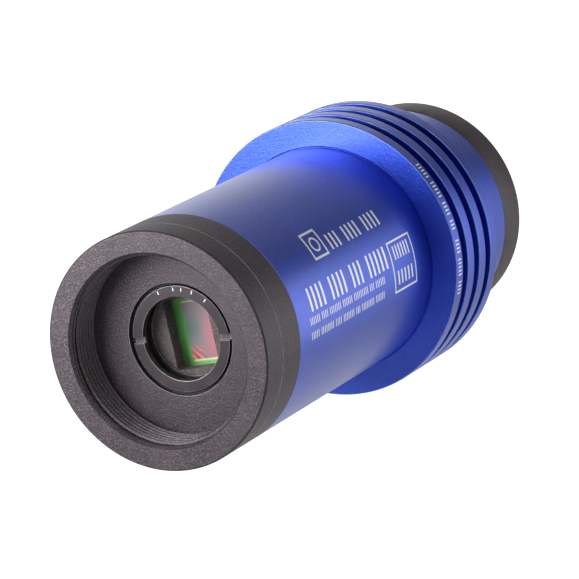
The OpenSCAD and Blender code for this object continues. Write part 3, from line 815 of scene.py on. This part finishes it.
def carrier():
    """The sensor's green carrier: near its rim a darker band, partly a line round the green and partly
    painted shadow of the mask's wall, with fine darker lines that follow its edges. The lines are drawn on
    the distance from the rim, the larger of the distances past its two half widths."""
    package = bpy.context.scene.barrel_colours.package
    low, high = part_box("sensor_package")
    made = finish("Sensor carrier green", flat(package, 0.9), flat(package, 1.1), rough=0.35, mottle=700.0,
                  grain=8000.0, bump=0.003, Coat_Weight=0.3, Coat_Roughness=0.2)
    line_gap, line_start = 0.17 * MM, 0.13 * MM

    def traces(tree, colour):
        axes = split_axes(tree)
        past = []
        for k, axis in ((0, "X"), (2, "Z")):
            off = maths(tree, "SUBTRACT", axes[axis], (low[k] + high[k]) / 2, at=(-700, -300 - 200 * k))
            away = maths(tree, "ABSOLUTE", off, at=(-600, -300 - 200 * k))
            past.append(maths(tree, "SUBTRACT", away, (high[k] - low[k]) / 2, at=(-500, -300 - 200 * k)))
        rim = maths(tree, "MAXIMUM", *past, at=(-350, -500))
        steps = maths(tree, "PINGPONG", rim, line_gap, at=(-200, -500))
        fine = mapped(tree, steps, line_start, line_gap, at=(-100, -700))
        lined = mixed(tree, product(tree, fine, 0.7), colour, flat(package, 0.4))
        # A darker band near the rim: partly a line round the green, partly painted shadow of the mask's
        # wall.
        rim_line_and_shadow = mapped(tree, rim, -0.7 * MM, -0.5 * MM, at=(-100, -900))
        return mixed(tree, rim_line_and_shadow, lined, flat(package, 0.3))

    return patterned(made, traces)


def circuit_green():
    """A circuit board's solder mask: green, with paler tracks and a pale spot at each via."""
    made = finish("Circuit board green", (0.012, 0.11, 0.045), (0.02, 0.15, 0.06), rough=0.34, mottle=350.0,
                  grain=6000.0, bump=0.004, Coat_Weight=0.45, Coat_Roughness=0.18)

    def tracks(tree, colour):
        where = object_place(tree, (-1000, -700))
        bricks = add(tree, "ShaderNodeTexBrick", (-700, -700), Vector=where, Scale=240.0, Mortar_Size=0.03,
                     Row_Height=0.18, Brick_Width=0.7)
        vias = add(tree, "ShaderNodeTexVoronoi", (-700, -1100), Vector=where, Scale=420.0)
        tracked = mixed(tree, bricks.outputs["Fac"], colour, (0.05, 0.27, 0.10))
        spot = mapped(tree, vias.outputs["Distance"], 0.16, 0.12, at=(-400, -1100))
        return mixed(tree, spot, tracked, (0.62, 0.56, 0.40), at=(400, -800))

    return patterned(made, tracks)


SMALL = {}


def small_finishes():
    """The finishes of the small parts, by their slot, made when they are first asked for."""
    if SMALL:
        return SMALL
    SMALL.update(
        mask_black=finish("Mask black", (0.050, 0.042, 0.042), (0.095, 0.074, 0.076), rough=0.6,
                          mottle=1100.0, grain=3600.0, bump=0.03, speckle_sparkle=0.7,
                          speckle_sparkle_to=(0.24, 0.17, 0.18)),
        seal_rubber=finish("Seal rubber", (0.010, 0.010, 0.011), (0.022, 0.022, 0.023), rough=0.66,
                           mottle=400.0, grain=3800.0, bump=0.02, Specular_IOR_Level=0.35),
        slip_film=finish("Slip film", (0.016, 0.016, 0.018), (0.03, 0.03, 0.032), rough=0.3, mottle=260.0,
                         grain=7000.0, bump=0.003),
        window_glass=finish("Window glass", (0.86, 0.93, 0.95), (0.92, 0.97, 0.98), rough=0.02, spread=0.01,
                            mottle=120.0, grain=3000.0, bump=0.0004, IOR=1.08, Alpha=0.16,
                            Transmission_Weight=1.0),
        cover_glass=finish("Sensor cover glass", (0.90, 0.92, 0.96), (0.95, 0.96, 1.0), rough=0.02,
                           spread=0.01, mottle=150.0, grain=3000.0, bump=0.0004, IOR=1.06, Alpha=0.12,
                           Transmission_Weight=1.0),
        sensor_green=carrier(),
        sensor_silicon=silicon(),
        gold=finish("Gold", (0.90, 0.78, 0.48), (0.98, 0.90, 0.66), rough=0.34, mottle=900.0, grain=9000.0,
                    bump=0.004, Metallic=0.35),
        board_green=circuit_green(),
        steel=finish("Steel", (0.50, 0.51, 0.53), (0.62, 0.63, 0.65), rough=0.3, mottle=500.0, grain=5000.0,
                     bump=0.004, lines=0.7, line_scale=2500.0, Metallic=1.0),
        spreader_aluminium=finish("Spreader aluminium", (0.60, 0.61, 0.62), (0.70, 0.71, 0.72), rough=0.38,
                                  mottle=300.0, bump=0.012, lines=1.0, Metallic=1.0),
        connector_plastic=finish("Connector plastic", (0.70, 0.66, 0.56), (0.78, 0.74, 0.64), rough=0.45,
                                 mottle=260.0, grain=3500.0),
        flex_film=finish("Ribbon film", (0.42, 0.19, 0.045), (0.52, 0.25, 0.07), rough=0.28, mottle=240.0,
                         grain=4200.0, bump=0.004, Coat_Weight=0.5, Coat_Roughness=0.15),
        chip_black=finish("Moulded black", (0.014, 0.014, 0.015), (0.028, 0.028, 0.03), rough=0.5,
                          mottle=500.0, grain=4300.0, bump=0.014, speckle_sparkle=0.18,
                          speckle_sparkle_to=(0.07, 0.07, 0.075)),
        coil_grey=finish("Coil grey", (0.07, 0.07, 0.075), (0.12, 0.12, 0.125), rough=0.55, mottle=600.0,
                         grain=4000.0, bump=0.03, speckle_sparkle=0.2, speckle_sparkle_to=(0.2, 0.2, 0.2)),
        ceramic_tan=finish("Ceramic tan", (0.40, 0.27, 0.15), (0.50, 0.35, 0.21), mottle=900.0, grain=5000.0,
                           bump=0.006),
        thermal_pad=finish("Thermal pad", (0.22, 0.30, 0.40), (0.30, 0.38, 0.48), rough=0.72, mottle=380.0,
                           grain=3200.0, bump=0.03),
        screw_black=finish("Screw black", (0.018, 0.018, 0.019), (0.035, 0.035, 0.037), rough=0.34,
                           mottle=500.0, bump=0.006, lines=0.6, line_scale=2600.0, Metallic=0.7),
        led_lens=finish("Lamp lens", (0.66, 0.78, 0.92), (0.78, 0.88, 0.98), rough=0.2, mottle=300.0,
                        grain=4000.0, bump=0.003, Coat_Weight=0.4, Coat_Roughness=0.3),
        light_guide=finish("Light guide", (0.74, 0.82, 0.86), (0.84, 0.90, 0.93), rough=0.16, mottle=260.0,
                           grain=4000.0, bump=0.003, IOR=1.49, Alpha=0.7, Transmission_Weight=0.6))
    return SMALL


# ---- operators ---------------------------------------------------------------


class BARREL_OT_nose_ring(bpy.types.Operator):
    """Turns the nose ring with its lens thread"""

    bl_idname = "barrel.nose_ring"
    bl_label = "Nose ring"

    def execute(self, context):
        own(nose_ring_shape(), "nose_turn", ["nose_ring"], black_anodised())
        return {"FINISHED"}


class BARREL_OT_chamber_ring(bpy.types.Operator):
    """Turns the chamber ring with its floor and ledge"""

    bl_idname = "barrel.chamber_ring"
    bl_label = "Chamber ring"

    def execute(self, context):
        own(chamber_ring_shape(), "camera", ["chamber_ring"], black_anodised())
        return {"FINISHED"}


class BARREL_OT_window_ring(bpy.types.Operator):
    """Turns the ring that holds the window, with its two spanner slots"""

    bl_idname = "barrel.window_ring"
    bl_label = "Window ring"

    def execute(self, context):
        own(window_keeper_shape(), "window_turn", ["window_keeper"], ring_anodised())
        return {"FINISHED"}


class BARREL_OT_nose_tube(bpy.types.Operator):
    """Turns the blue nose tube"""

    bl_idname = "barrel.nose_tube"
    bl_label = "Nose tube"

    def execute(self, context):
        own(nose_tube_shape(), "camera", ["nose_tube"], blue_anodised())
        return {"FINISHED"}


class BARREL_OT_housing(bpy.types.Operator):
    """Turns the blue housing with its fins and tail"""

    bl_idname = "barrel.housing"
    bl_label = "Finned housing"

    def execute(self, context):
        own(housing_shape(), "camera", ["finned_housing"], blue_anodised())
        return {"FINISHED"}


class BARREL_OT_markings(bpy.types.Operator):
    """Lays the plain bars, frames and dashes on the tube and the first fin, and five light strokes as
    painted glints on the window ring
    """

    bl_idname = "barrel.markings"
    bl_label = "Markings"

    def execute(self, context):
        c = context.scene.barrel_colours
        ink = finish("Marking silver", flat(c.marking, 0.92), flat(c.marking, 1.08), rough=0.42,
                     mottle=700.0, bump=0.006, Metallic=0.35)
        own(inlay("barrel_markings", barrel_marks(), BODY_R), "camera", [], ink)
        own(inlay("fin_markings", fin_marks(), FIN_R), "camera", [], ink)
        own(ring_glint_ticks(), "window_turn", [], ink)
        return {"FINISHED"}


class BARREL_OT_rear_cover(bpy.types.Operator):
    """Rounds the edges of the rear cover and of what shows in it"""

    bl_idname = "barrel.rear_cover"
    bl_label = "Rear cover and sockets"

    def execute(self, context):
        slots = small_finishes()
        own(merged("rear_cover", "rear_cover_broken_edges", 0.08), "camera", ["rear_cover"],
            black_anodised())
        for node, slot, width in (
                ("usb_shell", "steel", 0.05), ("usb_tongue", "chip_black", 0.06),
                ("guide_socket", "chip_black", 0.12), ("cover_screws", "screw_black", 0.05),
                ("light_pipe", "light_guide", 0.08)):
            own(merged(node, node + "_rounded", width), "camera", [node], slots[slot])
        return {"FINISHED"}


class BARREL_OT_sensor(bpy.types.Operator):
    """Finishes the mask, the glasses, the seals and the sensor behind the window"""

    bl_idname = "barrel.sensor"
    bl_label = "Sensor and window"

    def execute(self, context):
        slots = small_finishes()
        for slot, nodes in (
                ("mask_black", ("sensor_mask",)),
                ("window_glass", ("window_glass",)),
                ("cover_glass", ("sensor_cover_glass",)),
                ("sensor_green", ("sensor_package",)),
                ("sensor_silicon", ("sensor_die",)),
                ("gold", ("bond_strips",)),
                ("seal_rubber", ("nose_seal", "chamber_seal", "window_seal", "rear_seal")),
                ("slip_film", ("slip_ring",))):
            dress(slots[slot], *nodes)
        return {"FINISHED"}


class BARREL_OT_electronics(bpy.types.Operator):
    """Finishes the boards, chips, screws and brackets inside"""

    bl_idname = "barrel.electronics"
    bl_label = "Electronics"

    def execute(self, context):
        slots = small_finishes()
        for slot, nodes in (
                ("board_green", ("sensor_board", "main_board")),
                ("steel", ("board_spacers", "sensor_screws", "crystal", "spreader_screws", "cover_brackets",
                           "bracket_screws")),
                ("connector_plastic", ("sensor_connector", "main_connector")),
                ("flex_film", ("flex_cable",)),
                ("chip_black", ("processor_chip", "memory_chips", "usb_chip")),
                ("coil_grey", ("power_coils",)),
                ("ceramic_tan", ("capacitors",)),
                ("thermal_pad", ("thermal_pad",)),
                ("spreader_aluminium", ("heat_spreader",)),
                ("gold", ("usb_contacts", "guide_contacts")),
                ("led_lens", ("status_led",))):
            dress(slots[slot], *nodes)
        return {"FINISHED"}


# ---- the stage ---------------------------------------------------------------


# Each light's name, place, aim and size in metres. None stands for the view's own aim.
LIGHTS = (
    ("key", (-0.065, -0.147, 0.056), (0.0, -0.03, 0.0), (0.10, 0.10)),
    ("back", (-0.45, 0.80, 0.20), None, (0.70, 0.60)),
    ("side", (0.125, 0.075, -0.015), (0.012, -0.02, 0.0), (0.11, 0.10)),
    ("over", (0.10, 0.62, 0.40), None, (0.36, 0.36)),
    ("fill", (0.30, -0.35, 0.30), None, (0.25, 0.25)))
FLOOR_REACH = 20.0
WHITE = (1.0, 1.0, 1.0, 1.0)


def to_lens(tree, seen, unseen, at):
    """A number that is one value to the lens and another to the pieces."""
    path = add(tree, "ShaderNodeLightPath", at)
    return mapped(tree, path.outputs["Is Camera Ray"], 0.0, 1.0, unseen, seen, (at[0] + 300, at[1]))


def lay_floor(stage):
    """A flat floor that glows like a light table: the lens sees it evenly lit, and it gives the pieces a
    softer light."""
    side = np.array([[-1, -1], [1, -1], [1, 1], [-1, 1]]) * FLOOR_REACH
    corners = np.concatenate([side, np.full((4, 1), -stage.floor_drop)], 1)
    mesh = bpy.data.meshes.new("floor")
    mesh.from_pydata(corners.tolist(), [], [(0, 1, 2, 3)])
    floor = linked(bpy.data.objects.new("floor", mesh))
    pale = finish("Pale floor", (0.52, 0.52, 0.52), (0.56, 0.56, 0.56), rough=0.9, spread=0.02, mottle=2.0,
                  grain=40.0, bump=0.02, Specular_IOR_Level=0.1, Emission_Color=WHITE)
    glow = to_lens(pale.node_tree, stage.floor_glow, stage.floor_bounce, (0, 600))
    wire(pale.node_tree, principled(pale.node_tree).inputs["Emission Strength"], glow)
    mesh.materials.append(pale)


def hang_lights(stage):
    """Soft area lights. A light's power is its brightness times pi times its area."""
    for name, spot, aim, size in LIGHTS:
        data = bpy.data.lights.new(name, "AREA")
        data.shape = "RECTANGLE"
        data.size, data.size_y = size
        data.energy = getattr(stage, name) * math.pi * size[0] * size[1]
        made = linked(bpy.data.objects.new(name, data))
        made.visible_camera = False
        spot, aim = Vector(spot), Vector(aim or stage.aim)
        made.matrix_world = Matrix.LocRotScale(spot, (aim - spot).to_track_quat("-Z", "Y"), None)


def set_camera(stage):
    """The view: it looks ahead along the azimuth and elevation to the aim, and is rolled about that line."""
    turn, lift, roll = stage.azimuth, stage.elevation, stage.roll
    ahead = Vector((-math.sin(turn) * math.cos(lift), math.cos(turn) * math.cos(lift), -math.sin(lift)))
    level = Vector((math.cos(turn), math.sin(turn), 0))
    over = level.cross(ahead)
    right = level * math.cos(roll) + over * math.sin(roll)
    up = over * math.cos(roll) - level * math.sin(roll)
    data = bpy.data.cameras.new("view")
    data.lens = stage.lens
    data.sensor_width = 36.0
    data.clip_start, data.clip_end = 0.01, 100.0
    camera = linked(bpy.data.objects.new("view", data))
    turned_axes = Matrix((right, up, -ahead)).transposed()
    eye = Vector(stage.aim) - ahead * stage.distance
    camera.matrix_world = Matrix.Translation(eye) @ turned_axes.to_4x4()
    bpy.context.scene.camera = camera


def set_world(stage):
    """Plain surroundings, white to the lens and dimmer to the pieces."""
    world = bpy.data.worlds.new("surroundings")
    world.use_nodes = True
    tree = world.node_tree
    air = tree.nodes["Background"]
    air.inputs["Color"].default_value = WHITE
    wire(tree, air.inputs["Strength"], to_lens(tree, 1.0, stage.air, (-600, 0)))
    bpy.context.scene.world = world


class BARREL_OT_stage(bpy.types.Operator):
    """Lays the floor, hangs the soft lights and sets the camera"""

    bl_idname = "barrel.stage"
    bl_label = "Stage"

    def execute(self, context):
        stage = context.scene.barrel_stage
        lay_floor(stage)
        set_camera(stage)
        hang_lights(stage)
        set_world(stage)
        context.scene.view_settings.view_transform = "Standard"
        context.scene.view_settings.look = "None"
        return {"FINISHED"}


class BARREL_PT_panel(bpy.types.Panel):
    """Sizes, colours, stage and pieces of the barrel camera"""

    bl_idname = "BARREL_PT_panel"
    bl_label = "Barrel camera"
    bl_space_type = "VIEW_3D"
    bl_region_type = "UI"
    bl_category = "Barrel camera"

    def draw(self, context):
        scene = context.scene
        for label, values in (("Sizes", scene.barrel_sizes), ("Colours", scene.barrel_colours),
                              ("Stage", scene.barrel_stage)):
            box = self.layout.box()
            box.label(text=label)
            for key in type(values).__annotations__:
                box.prop(values, key)
        for step in STEPS:
            self.layout.operator(step.bl_idname)


STEPS = (BARREL_OT_nose_ring, BARREL_OT_chamber_ring, BARREL_OT_window_ring, BARREL_OT_nose_tube,
         BARREL_OT_housing, BARREL_OT_markings, BARREL_OT_rear_cover, BARREL_OT_sensor,
         BARREL_OT_electronics, BARREL_OT_stage)
CLASSES = (BarrelSizes, BarrelColours, BarrelStage) + STEPS + (BARREL_PT_panel,)


def register():
    for item in CLASSES:
        bpy.utils.register_class(item)
    bpy.types.Scene.barrel_sizes = bpy.props.PointerProperty(type=BarrelSizes)
    bpy.types.Scene.barrel_colours = bpy.props.PointerProperty(type=BarrelColours)
    bpy.types.Scene.barrel_stage = bpy.props.PointerProperty(type=BarrelStage)


def unregister():
    for name in ("barrel_stage", "barrel_colours", "barrel_sizes"):
        delattr(bpy.types.Scene, name)
    for item in reversed(CLASSES):
        bpy.utils.unregister_class(item)


def main():
    register()
    bpy.ops.barrel.nose_ring()
    bpy.ops.barrel.chamber_ring()
    bpy.ops.barrel.window_ring()
    bpy.ops.barrel.nose_tube()
    bpy.ops.barrel.housing()
    bpy.ops.barrel.markings()
    bpy.ops.barrel.rear_cover()
    bpy.ops.barrel.sensor()
    bpy.ops.barrel.electronics()
    bpy.ops.barrel.stage()


if __name__ == "__main__":
    main()
